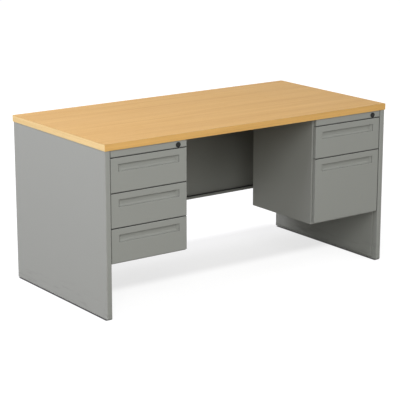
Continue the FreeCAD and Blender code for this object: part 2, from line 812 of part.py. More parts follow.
def make_hang_rails(side, top):
    """Plastic rails pushed over the file drawer's side walls for hanging folders."""
    rails = []
    rim = f"{top} - tub_drop"
    length = ("front_back + hang_rail_end_gap", "tub_back - hang_rail_end_gap")
    for wall in WALLS:
        name = f"hang_rail_{wall}"
        outer = in_lane(side, wall, "slide_lane - hang_rail_wall", "slide_lane + tub_sheet + hang_rail_wall")
        inner = in_lane(side, wall, "slide_lane - hang_rail_play", "slide_lane + tub_sheet + hang_rail_play")
        cap = block(f"{name}_outside", outer, length,
                    (f"{rim} + hang_rail_wall - hang_rail_height", f"{rim} + hang_rail_wall"))
        groove = block(f"{name}_groove", inner, (f"{length[0]} - overrun", f"{length[1]} + overrun"),
                       (f"{rim} - hang_rail_height", rim))
        rails.append(carve(name, cap, groove))
    finish(group("file_hang_rails", rails))


def make_drawers():
    bumpers = []
    for side in SIDES:
        fixed = []
        for drawer, bottom, top in drawer_rows(side):
            make_front(f"front_{side}_{drawer}", side, bottom, top)
            make_tub(f"tub_{side}_{drawer}", side, bottom, top)
            height = f"{bottom} + slide_rise"
            full = ("slide_start", "slide_end")
            moving = {"mid": [], "inner": []}
            for wall in WALLS:
                tail = f"{side}_{drawer}_{wall}"
                fixed.append(slide_member(f"slide_fixed_{tail}", side, wall, height, full, 0))
                moving["mid"].append(slide_member(f"slide_mid_{tail}", side, wall, height, full, 1))
                moving["inner"].append(slide_member(f"slide_inner_{tail}", side, wall, height, full, 2))
            for kind, members in moving.items():
                finish(group(f"slide_{kind}_{side}_{drawer}", members))
            for level, spot in (("low", f"{bottom} + bumper_edge"), ("high", f"{top} - bumper_edge")):
                centre = inwards(side, "case_inner + front_overlap / 2")
                bumpers.append(bar(f"bumper_{side}_{drawer}_{level}", "y", "bumper_radius", (centre, spot),
                                   ("front_back + bumper_gap", "case_front")))
            if drawer == "file":
                make_hang_rails(side, top)
        finish(group(f"slide_fixed_{side}", fixed))
    finish(group("drawer_bumpers", bumpers))


make_top()
for side in SIDES:
    make_end_panel(side)
make_glides()
make_modesty_panel()
for side in SIDES:
    make_case(side)
    make_lock(side)
make_drawers()
doc.recompute()

# Nothing is written unless every feature worked and every piece is a sound solid.
for item in doc.Objects:
    if "Invalid" in item.State or "Error" in item.State:
        raise RuntimeError(f"{item.Name} failed: {item.State}")
for node in nodes:
    if node.Shape.isNull() or not node.Shape.isValid() or not node.Shape.Solids:
        raise RuntimeError(f"{node.Label} has no sound solid")

os.makedirs("parts", exist_ok=True)
for node in nodes:
    node.Shape.exportStep(f"parts/{node.Label}.step")
    print(f"{node.Label}: {len(node.Shape.Solids)} solid(s), {node.Shape.Volume:.0f} mm3")
print(len(nodes), "pieces")
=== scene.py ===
# %% [markdown]
# # A steel pedestal desk with a wood-grain top
# The desk's steel, drawers, locks and feet arrive as solid pieces with their sizes settled.
# This lesson keeps those shapes and gives them what a shape cannot have: paint, wood grain, plating
# and moulded plastic, the small hardware that a close look finds, and the light of a plain studio.

# %% Load the desk
import json
import math

import bmesh
import bpy
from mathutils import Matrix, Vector


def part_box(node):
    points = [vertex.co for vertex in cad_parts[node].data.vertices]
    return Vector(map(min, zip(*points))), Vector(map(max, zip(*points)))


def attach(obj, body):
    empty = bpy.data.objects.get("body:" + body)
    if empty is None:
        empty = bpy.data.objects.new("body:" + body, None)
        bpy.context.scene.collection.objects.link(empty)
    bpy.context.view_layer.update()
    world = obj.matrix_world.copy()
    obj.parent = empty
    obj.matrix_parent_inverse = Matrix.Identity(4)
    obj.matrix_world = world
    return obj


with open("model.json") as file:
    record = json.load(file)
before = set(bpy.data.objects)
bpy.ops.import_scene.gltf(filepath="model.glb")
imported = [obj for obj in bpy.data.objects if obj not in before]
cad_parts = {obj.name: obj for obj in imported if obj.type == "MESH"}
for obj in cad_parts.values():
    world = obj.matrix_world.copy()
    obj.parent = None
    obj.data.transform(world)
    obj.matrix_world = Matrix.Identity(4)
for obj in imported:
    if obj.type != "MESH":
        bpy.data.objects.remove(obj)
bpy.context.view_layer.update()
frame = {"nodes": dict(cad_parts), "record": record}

scene = bpy.context.scene
print("pieces:", len(frame["nodes"]))

# %% [markdown]
# ## Camera
# The desk is seen from the left of the sitter's place, from a little above the top, through a long
# lens. A camera can be placed by eye, but a lens, a place and two angles worked out from the desk's
# own corners make every edge fall where it should, so those four are written here as plain numbers.

# %% Camera
SENSOR_WIDTH = 36.0
LENS_LENGTH = 134.2
CAMERA_PLACE = (-3.879, -5.356, 2.030)
TURN_RIGHT = 0.625
LOOK_DOWN = 0.2522

lens_picture = bpy.data.cameras.new("desk_camera")
lens_picture.sensor_width = SENSOR_WIDTH
lens_picture.lens = LENS_LENGTH
camera = bpy.data.objects.new("desk_camera", lens_picture)
camera.location = CAMERA_PLACE
camera.rotation_euler = (math.pi / 2 - LOOK_DOWN, 0.0, -TURN_RIGHT)
scene.collection.objects.link(camera)
scene.camera = camera
scene.view_settings.view_transform = "Standard"
print("camera looks", round(math.degrees(LOOK_DOWN), 1), "degrees down")

# %% [markdown]
# ## Shader sums
# A finish is a sum: grain times colour, one minus a mask, a scratch added to a roughness.
# Nodes can be wired one by one, but the wiring hides the sum. A small class that holds one output
# and knows plus, minus, times, greater-than and abs lets each finish be read as arithmetic.


# %% A wire that can be added and multiplied
class Wire:
    """One output of a shader node. A sum on wires adds the Math nodes for it."""

    def __init__(self, tree, socket):
        self.tree = tree
        self.socket = socket

    def node(self, kind, settings, sockets, *outputs):
        """Add a node with its settings, then its socket values or links, and return its outputs."""
        made = self.tree.nodes.new(kind)
        for name, setting in settings.items():
            setattr(made, name, setting)
        for name, value in sockets.items():
            if isinstance(value, Wire):
                self.tree.links.new(value.socket, made.inputs[name])
            else:
                made.inputs[name].default_value = value
        wires = [Wire(self.tree, made.outputs[output]) for output in outputs or (0,)]
        return wires if len(wires) > 1 else wires[0]

    def sum(self, operation, first, second):
        return self.node("ShaderNodeMath", {"operation": operation}, {0: first, 1: second})

    def __add__(self, other):
        return self.sum("ADD", self, other)

    def __sub__(self, other):
        return self.sum("SUBTRACT", self, other)

    def __rsub__(self, other):
        return self.sum("SUBTRACT", other, self)

    def __mul__(self, other):
        return self.sum("MULTIPLY", self, other)

    def __gt__(self, other):
        return self.sum("GREATER_THAN", self, other)

    def __abs__(self):
        return self.sum("ABSOLUTE", self, 0.0)

    __radd__ = __add__
    __rmul__ = __mul__


print("sums that a wire knows: + - * > abs")

# %% [markdown]
# ## Tools for a finish
# Every finish starts the same way: a new material, its steady numbers, and the place of each point
# on the desk in metres. Places in metres are better than picture coordinates here, because a grain
# of a known width in millimetres then keeps that width on a big panel and on a small rail.

# %% Tools for a finish
NOISE_ROUGHNESS = 0.55


def new_finish(name, steady):
    """A material with its steady values set. Returns it, its shader and the place on the desk."""
    finish = bpy.data.materials.new(name)
    finish.use_nodes = True
    shader = finish.node_tree.nodes["Principled BSDF"]
    for socket, value in steady.items():
        shader.inputs[socket].default_value = value
    coordinates = finish.node_tree.nodes.new("ShaderNodeTexCoord")
    return finish, shader, Wire(finish.node_tree, coordinates.outputs["Object"])


def feed(shader, **wires):
    """Link wires to the shader's sockets; an underscore in a name stands for a space."""
    for socket, wire in wires.items():
        wire.tree.links.new(wire.socket, shader.inputs[socket.replace("_", " ")])


def stretched(place, per_metre):
    return place.node("ShaderNodeVectorMath", {"operation": "MULTIPLY"}, {0: place, 1: per_metre})


def cloud(place, per_metre, detail=2.0):
    """Soft noise from 0 to 1 with so many lumps to the metre along X, Y and Z."""
    return place.node("ShaderNodeTexNoise", {},
                      {"Vector": stretched(place, per_metre), "Scale": 1.0, "Detail": detail,
                       "Roughness": NOISE_ROUGHNESS})


def spread(value, low, high):
    """Stretch the part of a value between low and high to 0 to 1, with soft ends."""
    return value.node("ShaderNodeMapRange", {"interpolation_type": "SMOOTHSTEP"},
                      {"Value": value, "From Min": low, "From Max": high})


def blend(share, first, second):
    """Mix two colours, written or wired, by a share from 0 to 1."""
    ends = [colour if isinstance(colour, Wire) else (*colour, 1.0) for colour in (first, second)]
    return share.node("ShaderNodeMix", {"data_type": "RGBA"}, {0: share, 6: ends[0], 7: ends[1]}, 2)


def raised(height, depth, normal=None):
    """A bump of a real depth in metres."""
    sockets = {"Height": height, "Distance": depth, "Strength": 1.0}
    if normal is not None:
        sockets["Normal"] = normal
    return height.node("ShaderNodeBump", {}, sockets, "Normal")


finishes = {}

# %% [markdown]
# ## Wood-grain laminate
# The top's face is a printed sheet under clear resin: straight fine grain that runs the length of
# the desk, a few broad pale bands and short dark pores. A wave texture gives stripes that repeat
# too evenly. Noise that is stretched many times along X gives lines that start and stop as real
# grain does, so the print is four layers of it, from broad to fine, with the pores over them.

# %% Wood-grain laminate
GRAIN_PALE = (0.607, 0.373, 0.130)
GRAIN_DEEP = (0.484, 0.269, 0.074)
PORE_BROWN = (0.430, 0.240, 0.085)
PORE_SHARE = 0.22
PRINT_RELIEF = 0.00003
LINE_RELIEF_SHARE = 0.3
DRIFT_LUMPS = (0.7, 2.5, 2.5)
DRIFT_REACH = 0.03
PORE_LUMPS = (26.0, 900.0, 900.0)
PORE_FROM, PORE_TO = 0.60, 0.70
SHEEN_LUMPS = (3.0, 4.0, 4.0)
# Lumps to the metre along and across the grain, fineness, the band of the noise that counts,
# and the layer's share of the colour.
GRAIN_LAYERS = {
    "bands": (0.4, 9.0, 2.0, 0.25, 0.75, 0.20),
    "streaks": (1.1, 28.0, 2.0, 0.30, 0.70, 0.27),
    "lines": (1.6, 95.0, 3.0, 0.28, 0.72, 0.33),
    "threads": (5.0, 420.0, 2.0, 0.25, 0.75, 0.20),
}


def wood_print(along, pale=GRAIN_PALE, deep=GRAIN_DEEP):
    """Colour, pores and lines of the print; along has the grain's direction as its X."""
    drift = cloud(along, DRIFT_LUMPS) * DRIFT_REACH
    sway = along.node("ShaderNodeCombineXYZ", {}, {"Y": drift, "Z": drift})
    swayed = along.node("ShaderNodeVectorMath", {"operation": "ADD"}, {0: along, 1: sway})
    layers, weighted = {}, []
    for name, (lengthwise, crosswise, fineness, low, high, share) in GRAIN_LAYERS.items():
        noise = cloud(swayed, (lengthwise, crosswise, crosswise), fineness)
        layers[name] = spread(noise, low, high)
        weighted.append(layers[name] * share)
    pores = spread(cloud(swayed, PORE_LUMPS, 1.0), PORE_FROM, PORE_TO)
    wood = blend(sum(weighted[1:], start=weighted[0]), deep, pale)
    return blend(pores * PORE_SHARE, wood, PORE_BROWN), pores, layers["lines"]


finish, shader, place = new_finish("wood_laminate", {"Specular IOR Level": 0.12})
wood, pores, lines = wood_print(place)
sheen = cloud(place, SHEEN_LUMPS)
feed(shader, Base_Color=wood, Roughness=0.44 + pores * 0.12 + sheen * 0.08,
     Normal=raised(pores * -1.0 + lines * LINE_RELIEF_SHARE, PRINT_RELIEF))
finishes["wood_laminate"] = finish
print("laminate nodes:", len(finish.node_tree.nodes))

# %% [markdown]
# ## Edge banding
# A two-millimetre strip of the same print runs round the four edges, with its grain along each
# edge. On the ends of the desk that is along Y, so the place is turned where the face looks
# sideways. Separate strips could carry their own coordinates, but one band with a turned place has
# no joints to hide.

# %% Edge banding
BAND_LONG_PALE, BAND_LONG_DEEP = (0.888, 0.532, 0.177), (0.663, 0.369, 0.102)
# The bands on the two ends are paler and less saturated than those along the desk: a painted sheen,
# for the shine that the light on the left gives that edge.
BAND_END_SHEEN_PALE, BAND_END_SHEEN_DEEP = (0.840, 0.630, 0.312), (0.740, 0.516, 0.218)
BAND_ARRIS = 0.0008
FACES_SIDEWAYS = 0.7
ARRIS_SAMPLES = 4
ARRIS_FROM, ARRIS_TO = 0.02, 0.25


def split_axes(vector, *axes):
    return vector.node("ShaderNodeSeparateXYZ", {}, {0: vector}, *axes)


def soft_arris(place, radius):
    """The normal of edges eased by a small radius, and a mask of 1 on those edges."""
    eased = place.node("ShaderNodeBevel", {"samples": ARRIS_SAMPLES}, {"Radius": radius})
    flat = place.node("ShaderNodeNewGeometry", {}, {}, "Normal")
    agree = place.node("ShaderNodeVectorMath", {"operation": "DOT_PRODUCT"},
                       {0: eased, 1: flat}, "Value")
    return eased, spread(1.0 - agree, ARRIS_FROM, ARRIS_TO)


finish, shader, place = new_finish("wood_edge_band", {"Specular IOR Level": 0.2})
x, y, z = split_axes(place, "X", "Y", "Z")
facing = split_axes(place.node("ShaderNodeNewGeometry", {}, {}, "Normal"), "X")
endwise = abs(facing) > FACES_SIDEWAYS
along = place.node("ShaderNodeCombineXYZ", {}, {"X": x + endwise * (y - x), "Y": z,
                                                "Z": y + endwise * (x - y)})
# Faces that look sideways take the paler end colours, the painted sheen.
wood, pores, lines = wood_print(along, blend(endwise, BAND_LONG_PALE, BAND_END_SHEEN_PALE),
                                blend(endwise, BAND_LONG_DEEP, BAND_END_SHEEN_DEEP))
eased, arris = soft_arris(place, BAND_ARRIS)
feed(shader, Base_Color=blend(arris * 0.25, wood, GRAIN_PALE),
     Roughness=0.40 + pores * 0.15 + lines * 0.05,
     Normal=raised(pores * -1.0 + lines * LINE_RELIEF_SHARE, PRINT_RELIEF, eased))
finishes["wood_edge_band"] = finish
print("edge band nodes:", len(finish.node_tree.nodes))

# %% [markdown]
# ## Flake board
# Under the laminate is board pressed from wood flakes. It shows only from below, as pale chips that
# lie every way. A noise would give a soft blur; the cells of a Voronoi texture, stretched two ways
# and given a shade each, have the edges that chips have.

# %% Flake board
CHIP_DARK, CHIP_PALE = (0.300, 0.190, 0.095), (0.560, 0.400, 0.230)
BOARD_DUST = (0.40, 0.27, 0.14)
CHIP_CELLS = (70.0, 190.0, 190.0)
DUST_LUMPS = 600.0
CHIP_RELIEF = 0.00025


def cells(place, per_metre):
    """A random colour for each cell, with so many cells to the metre along X, Y and Z."""
    return place.node("ShaderNodeTexVoronoi", {},
                      {"Vector": stretched(place, per_metre), "Scale": 1.0}, "Color")


def even_cloud(place, per_metre, detail=2.0):
    return cloud(place, (per_metre,) * 3, detail)


finish, shader, place = new_finish("flake_board", {"Specular IOR Level": 0.2})
shade, grit = place.node("ShaderNodeSeparateColor", {}, {0: cells(place, CHIP_CELLS)}, 0, 1)
dust = even_cloud(place, DUST_LUMPS)
board = blend(shade, CHIP_DARK, CHIP_PALE)
feed(shader, Base_Color=blend(dust * 0.3, board, BOARD_DUST), Roughness=0.72 + grit * 0.2,
     Normal=raised(shade * 0.6 + dust * 0.4, CHIP_RELIEF))
finishes["flake_board"] = finish
print("flake board nodes:", len(finish.node_tree.nodes))

# %% [markdown]
# ## Grey enamel
# The steel is sprayed and baked in a warm light grey. Close to, the paint has the dimples of orange
# peel; from further off the wide sheets are never quite flat, so their sheen drifts. Shoes dull the
# lowest part. A displaced mesh could carry the dimples, but at a few hundredths of a millimetre a
# bump node does it better.

# %% Grey enamel
ENAMEL_GREY = (0.322, 0.330, 0.304)
ENAMEL_SHADE = (0.294, 0.302, 0.276)
ENAMEL_RUBBED = (0.470, 0.475, 0.455)
ENAMEL_SCUFFED = (0.20, 0.20, 0.19)
ENAMEL_ARRIS = 0.0012
PEEL_RELIEF = 0.00003
SHEET_RELIEF = 0.0012
SCUFF_FULL, SCUFF_NONE = 0.02, 0.12
TONE_LUMPS, RUBBED_LUMPS, MOTTLE_LUMPS, PEEL_LUMPS = 2.1, 23.0, 120.0, 620.0
SCUFF_LUMPS = (9.0, 9.0, 60.0)

finish, shader, place = new_finish("grey_enamel", {"Specular IOR Level": 0.4})
height = split_axes(place, "Z")
tone = even_cloud(place, TONE_LUMPS)
mottle = even_cloud(place, MOTTLE_LUMPS)
peel = even_cloud(place, PEEL_LUMPS, 1.0)
eased, arris = soft_arris(place, ENAMEL_ARRIS)
rubbed = arris * spread(even_cloud(place, RUBBED_LUMPS), 0.40, 0.65)
scuffs = spread(cloud(place, SCUFF_LUMPS, 4.0), 0.52, 0.68)
scuffed = (1.0 - spread(height, SCUFF_FULL, SCUFF_NONE)) * scuffs
paint = blend(tone * 0.7 + mottle * 0.3, ENAMEL_SHADE, ENAMEL_GREY)
paint = blend(rubbed * 0.5, paint, ENAMEL_RUBBED)
feed(shader, Base_Color=blend(scuffed * 0.25, paint, ENAMEL_SCUFFED),
     Roughness=0.40 + tone * 0.10 + mottle * 0.05 + scuffed * 0.15,
     Normal=raised(peel, PEEL_RELIEF, raised(tone, SHEET_RELIEF, eased)))
finishes["grey_enamel"] = finish
print("enamel nodes:", len(finish.node_tree.nodes))

# %% [markdown]
# ## Zinc plate
# Slides, screws, lock rods and lock bars are plated with zinc: a cool grey metal with faint patches
# and the fine lines that rolling leaves along the strip. A plain grey would look painted. Metal has
# no colour of its own but its reflections, so most of the finish is in the roughness.

# %% Zinc plate
ZINC_DARK, ZINC_PALE = (0.47, 0.48, 0.50), (0.62, 0.63, 0.64)
ZINC_EDGE = (0.75, 0.75, 0.75)
ZINC_ARRIS = 0.0004
ZINC_RELIEF = 0.00001
PATCH_CELLS = (140.0, 90.0, 140.0)
ROLLING_LUMPS = (900.0, 14.0, 900.0)

finish, shader, place = new_finish("zinc_steel", {"Metallic": 1.0})
patch = place.node("ShaderNodeSeparateColor", {}, {0: cells(place, PATCH_CELLS)}, 0)
rolled = cloud(place, ROLLING_LUMPS, 1.0)
eased, arris = soft_arris(place, ZINC_ARRIS)
zinc = blend(patch * 0.6 + rolled * 0.4, ZINC_DARK, ZINC_PALE)
feed(shader, Base_Color=blend(arris * 0.3, zinc, ZINC_EDGE),
     Roughness=0.32 + patch * 0.12 + rolled * 0.10,
     Normal=raised(rolled, ZINC_RELIEF, eased))
finishes["zinc_steel"] = finish
print("zinc nodes:", len(finish.node_tree.nodes))

# %% [markdown]
# ## Moulded pieces
# Glides and bar guides are moulded nylon, the bumpers, seals and strips are rubber, and the lock
# housings are cast and black. All are dark, and grained like the mould they came from. Each could
# be wired by hand, but they differ only in shade, in the size of the grain and in how dull and how
# glossy they are, so one function makes all four.

# %% Moulded pieces
BLOOM_LUMPS = 60.0
MOULD_ARRIS = 0.0005
# Darkest and palest shade, grain to the metre, depth of the grain, dullness and gloss.
MOULDED_LOOKS = {
    "glide_nylon": ((0.030, 0.030, 0.029), (0.055, 0.054, 0.052), 1500.0, 0.00003, 0.45, 0.35),
    "guide_plastic": ((0.085, 0.085, 0.083), (0.120, 0.120, 0.115), 1800.0, 0.00002, 0.40, 0.35),
    "bumper_rubber": ((0.026, 0.026, 0.025), (0.045, 0.044, 0.043), 2400.0, 0.00003, 0.70, 0.35),
    "lock_black": ((0.010, 0.010, 0.010), (0.018, 0.018, 0.018), 2600.0, 0.00001, 0.42, 0.16),
}


def moulded(name, dark, pale, grain_per_metre, grain_depth, dullness, gloss):
    finish, shader, place = new_finish(name, {"Specular IOR Level": gloss})
    grain = even_cloud(place, grain_per_metre)
    bloom = even_cloud(place, BLOOM_LUMPS)
    eased, arris = soft_arris(place, MOULD_ARRIS)
    skin = blend(bloom * 0.7 + grain * 0.3, dark, pale)
    worn = [2.0 * part for part in pale]
    feed(shader, Base_Color=blend(arris * 0.35, skin, worn),
         Roughness=dullness + grain * 0.10 - bloom * 0.05,
         Normal=raised(grain, grain_depth, eased))
    return finish


for name, look in MOULDED_LOOKS.items():
    finishes[name] = moulded(name, *look)
print("moulded finishes:", list(MOULDED_LOOKS))

# %% [markdown]
# ## Lock plugs
# The plug's face is turned on a lathe, so its fine rings run round its own middle. A picture of
# rings would have to be laid on each face. Noise along the distance from the middle gives the same
# rings, and reading that middle from the plug's own box keeps them centred wherever the lock is.

# %% Lock plugs
SIDES = ("left", "right")
PLUG_DARK, PLUG_PALE = (0.022, 0.022, 0.021), (0.040, 0.040, 0.038)
PLUG_EDGE = (0.14, 0.14, 0.14)
PLUG_ARRIS = 0.0003
PLUG_RELIEF = 0.00001
RINGS_TO_METRE = 5200.0
TARNISH_LUMPS = 420.0


def turned_metal(name, node):
    low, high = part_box(node)
    middle = (low + high) / 2
    finish, shader, place = new_finish(name, {"Metallic": 1.0})
    inward = place.node("ShaderNodeVectorMath", {"operation": "SUBTRACT"},
                        {0: place, 1: (middle.x, low.y, middle.z)})
    flat = stretched(inward, (1.0, 0.0, 1.0))
    radius = flat.node("ShaderNodeVectorMath", {"operation": "LENGTH"}, {0: flat}, "Value")
    rings = radius.node("ShaderNodeTexNoise", {"noise_dimensions": "1D"},
                        {"W": radius * RINGS_TO_METRE, "Scale": 1.0})
    tarnish = even_cloud(place, TARNISH_LUMPS)
    eased, arris = soft_arris(place, PLUG_ARRIS)
    metal = blend(rings * 0.5 + tarnish * 0.5, PLUG_DARK, PLUG_PALE)
    feed(shader, Base_Color=blend(arris * 0.5, metal, PLUG_EDGE),
         Roughness=0.26 + tarnish * 0.16 + rings * 0.06,
         Normal=raised(rings, PLUG_RELIEF, eased))
    return finish


for side in SIDES:
    finishes[f"lock_metal_{side}"] = turned_metal(f"lock_metal_{side}", f"lock_plug_{side}")
print("finishes:", sorted(finishes))

# %% [markdown]
# ## Dress the desk
# Each piece could be given its finish by hand. The record says which slot each piece takes its
# finish from, so one loop dresses the whole desk and forgets none.

# %% Dress the desk
for subpart in frame["record"]["subparts"]:
    node = frame["nodes"][subpart["node"]]
    slot = subpart["material_slot"]
    if slot == "lock_metal":
        slot = f"lock_metal_{subpart['node'].split('_')[-1]}"
    for material_slot in node.material_slots:
        material_slot.material = finishes[slot]

# %% [markdown]
# ## Lock bezels
# A black ring with a rolled edge trims the hole in each lock rail. A torus would be too round and a
# plain cylinder too sharp, so a small outline of radius and depth is turned about the lock's own
# axis, as on a lathe.

# %% Lock bezels
BEZEL_OUTER = 0.0116
BEZEL_INNER = 0.0096
BEZEL_ROLL = 0.0008
BEZEL_LEAD = 0.0003
ROLL_STEPS = 8
RING_STEPS = 72
HALF_TURN = [math.pi * step / ROLL_STEPS for step in range(ROLL_STEPS + 1)]


def new_piece(name, shape, smooth=True):
    mesh = bpy.data.meshes.new(name)
    shape.to_mesh(mesh)
    shape.free()
    for face in mesh.polygons:
        face.use_smooth = smooth
    piece = bpy.data.objects.new(name, mesh)
    scene.collection.objects.link(piece)
    return piece


def turned_ring(name, outline, centre, steps=RING_STEPS):
    """Turn a closed outline of (radius, depth) about the Y axis through a centre."""
    shape = bmesh.new()
    rings = []
    for step in range(steps):
        angle = 2.0 * math.pi * step / steps
        turn = Vector((math.cos(angle), 0.0, math.sin(angle)))
        rings.append([shape.verts.new(centre + turn * radius + Vector((0.0, depth, 0.0)))
                      for radius, depth in outline])
    for here, after in zip(rings, rings[1:] + rings[:1]):
        for side in range(len(outline)):
            follow = (side + 1) % len(outline)
            shape.faces.new((here[side], here[follow], after[follow], after[side]))
    bmesh.ops.recalc_face_normals(shape, faces=shape.faces)
    return new_piece(name, shape)


for side in SIDES:
    low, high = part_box(f"lock_housing_{side}")
    rail_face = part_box(f"lock_rail_{side}")[0].y
    proud = low.y - rail_face - BEZEL_LEAD
    middle_radius, half_width = (BEZEL_OUTER + BEZEL_INNER) / 2, (BEZEL_OUTER - BEZEL_INNER) / 2
    outline = [(BEZEL_INNER, 0.0), (BEZEL_OUTER, 0.0)]
    outline += [(middle_radius + half_width * math.cos(angle), proud - BEZEL_ROLL * math.sin(angle))
                for angle in HALF_TURN]
    plug_low, plug_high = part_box(f"lock_plug_{side}")
    middle = (plug_low + plug_high) / 2
    bezel = turned_ring(f"lock_bezel_{side}", outline, Vector((middle.x, rail_face, middle.z)))
    bezel.data.materials.append(finishes["lock_black"])
    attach(bezel, "frame")
    print(bezel.name, "stands", round((BEZEL_ROLL - proud) * 1000, 2), "mm proud of its rail")

# %% [markdown]
# ## Rolled rims
# The bare edge of a drawer tub would cut a hand, so the sheet is rolled into a bead along the two
# side walls and the back. A curve with a round bevel would do; here a ring of points is carried
# along the rim in a mesh, with the two corners mitred, because the bead then has exactly the
# corners of its tub.

# %% Rolled rims
RIM_DROP = 0.030
RIM_SEAT = 0.0004
RIM_START = 0.002
RIM_RADIUS = 0.0015
TUB_BACK = 0.041
TUB_SHEET = 0.001
BEAD_STEPS = 12
UP = Vector((0.0, 0.0, 1.0))


def carried_bead(name, path, radius, square_to, closed=False, steps=BEAD_STEPS):
    """Carry a circle along a flat path, mitred at its turns; square_to is the path's normal."""
    shape = bmesh.new()
    rings = []
    turns = [2.0 * math.pi * step / steps for step in range(steps)]
    for index, point in enumerate(path):
        before = (point - path[index - 1]).normalized() if index or closed else None
        following = path[(index + 1) % len(path)]
        after = (following - point).normalized() if index + 1 < len(path) or closed else None
        heading = ((before or after) + (after or before)).normalized()
        aside = heading.cross(square_to) / heading.dot(after or before)
        rings.append([shape.verts.new(point + radius * (aside * math.cos(turn)
                                                        + square_to * math.sin(turn)))
                      for turn in turns])
    for here, after in zip(rings, rings[1:] + (rings[:1] if closed else [])):
        for step in range(steps):
            follow = (step + 1) % steps
            shape.faces.new((here[step], here[follow], after[follow], after[step]))
    if not closed:
        shape.faces.new(rings[0])
        shape.faces.new(list(reversed(rings[-1])))
    bmesh.ops.recalc_face_normals(shape, faces=shape.faces)
    return new_piece(name, shape)


drawers = [name.removeprefix("front_") for name in frame["nodes"] if name.startswith("front_")]
for drawer in drawers:
    low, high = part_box(f"tub_{drawer}")
    front_low, front_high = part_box(f"front_{drawer}")
    rim = front_high.z - RIM_DROP - RIM_SEAT
    left, right = low.x + TUB_SHEET / 2, high.x - TUB_SHEET / 2
    start, back = front_high.y + RIM_START, TUB_BACK - TUB_SHEET / 2
    corners = ((left, start), (left, back), (right, back), (right, start))
    path = [Vector((x, y, rim)) for x, y in corners]
    bead = carried_bead(f"rolled_rim_{drawer}", path, RIM_RADIUS, UP)
    bead.data.materials.append(finishes["grey_enamel"])
    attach(bead, f"drawer_{drawer}")
print("rolled rims on", drawers)

# %% [markdown]
# ## Pull seams
# Each finger pull is a pressed cup let into its drawer front, and a hairline of shade shows where
# the cup meets the front, below and at both ends. It is painted shade: a bead of dark rubber. A
# painted line would stretch and blur, so the seam is a bead of its own, carried round three sides
# of the mouth behind its rounded edge.

# %% Pull seams
PULL_INSET, PULL_DROP, PULL_HEIGHT, PULL_DEPTH = 0.039, 0.027, 0.031, 0.0125
SEAM_RADIUS = 0.0008
SEAM_BEHIND = 0.0018
SEAM_SUNK = 0.0005
INWARD = Vector((0.0, 1.0, 0.0))


def pull_cup(drawer):
    """The left, right, bottom, top, near and back limits of a drawer's finger pull."""
    low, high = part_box(f"front_{drawer}")
    top = high.z - PULL_DROP
    return (low.x + PULL_INSET, high.x - PULL_INSET, top - PULL_HEIGHT, top,
            low.y + SEAM_BEHIND, low.y + PULL_DEPTH)


def pull_shade_seam(drawer):
    left, right, bottom, top, near, back = pull_cup(drawer)
    sunk = bottom - SEAM_SUNK
    corners = ((left, top), (left, sunk), (right, sunk), (right, top))
    mouth = [Vector((x, near, z)) for x, z in corners]
    # Dark rubber in the joint: painted shade for the gap round the mouth.
    seam = carried_bead(f"pull_shade_seam_{drawer}", mouth, SEAM_RADIUS, INWARD)
    seam.data.materials.append(finishes["bumper_rubber"])
    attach(seam, f"drawer_{drawer}")


left, right, bottom, top, near, back = pull_cup(drawers[0])
print("pulls:", round((right - left) * 1000, 1), "by", round((top - bottom) * 1000, 1), "mm")

# %% [markdown]
# ## Pull sweeps
# The floor of the cup sweeps up into its back, as a press tool needs, so the shade in the pull
# fades downwards. Shading alone could fake the fade from one side. A hollow quarter round, drawn
# from the end and carried along the cup, is right from every side; it is let into the steel by a
# hair, so that no gap shows.

# %% Pull sweeps
SWEEP_RISE, SWEEP_RUN = 0.009, 0.009
SWEEP_STEPS = 12
INTO_STEEL = 0.0003
ACROSS = Vector((1.0, 0.0, 0.0))


def carried_outline(name, outline, start, end):
    """Carry a closed outline straight from one offset to another, as a bar with two flat ends."""
    shape = bmesh.new()
    ends = [[shape.verts.new(point + offset) for point in outline] for offset in (start, end)]
    for here in range(len(outline)):
        follow = (here + 1) % len(outline)
        shape.faces.new((ends[0][here], ends[0][follow], ends[1][follow], ends[1][here]))
    for rim in ends:
        shape.faces.new(rim)
    bmesh.ops.recalc_face_normals(shape, faces=shape.faces)
    return new_piece(name, shape, smooth=False)


def seen_from_end(outline):
    return [Vector((0.0, y, z)) for y, z in outline]


def pull_sweep(drawer):
    left, right, bottom, top, near, back = pull_cup(drawer)
    outline = [(back + INTO_STEEL, bottom - INTO_STEEL), (back - SWEEP_RUN, bottom - INTO_STEEL)]
    for step in range(SWEEP_STEPS + 1):
        angle = math.pi / 2 * step / SWEEP_STEPS
        outline.append((back - SWEEP_RUN * (1.0 - math.sin(angle)),
                        bottom + SWEEP_RISE * (1.0 - math.cos(angle))))
    outline.append((back + INTO_STEEL, bottom + SWEEP_RISE))
    sweep = carried_outline(f"pull_sweep_{drawer}", seen_from_end(outline),
                            left * ACROSS, right * ACROSS)
    sweep.data.materials.append(finishes["grey_enamel"])
    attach(sweep, f"drawer_{drawer}")


print("sweeps rise", round(SWEEP_RISE * 1000, 1), "mm up the backs of the pulls")

# %% [markdown]
# ## Pull cheeks
# The two ends of the cup slope for the same reason. A flat wedge would meet the back of the cup in
# a hard line. Each cheek is one bent outline, drawn from above and carried up from the floor of the
# cup to its roof, and the right one mirrors the left. Then each pull gets its three kinds of piece.

# %% Pull cheeks
CHEEK_RUN = 0.0115
CHEEK_BEND = 1.15
CHEEK_STEPS = 10


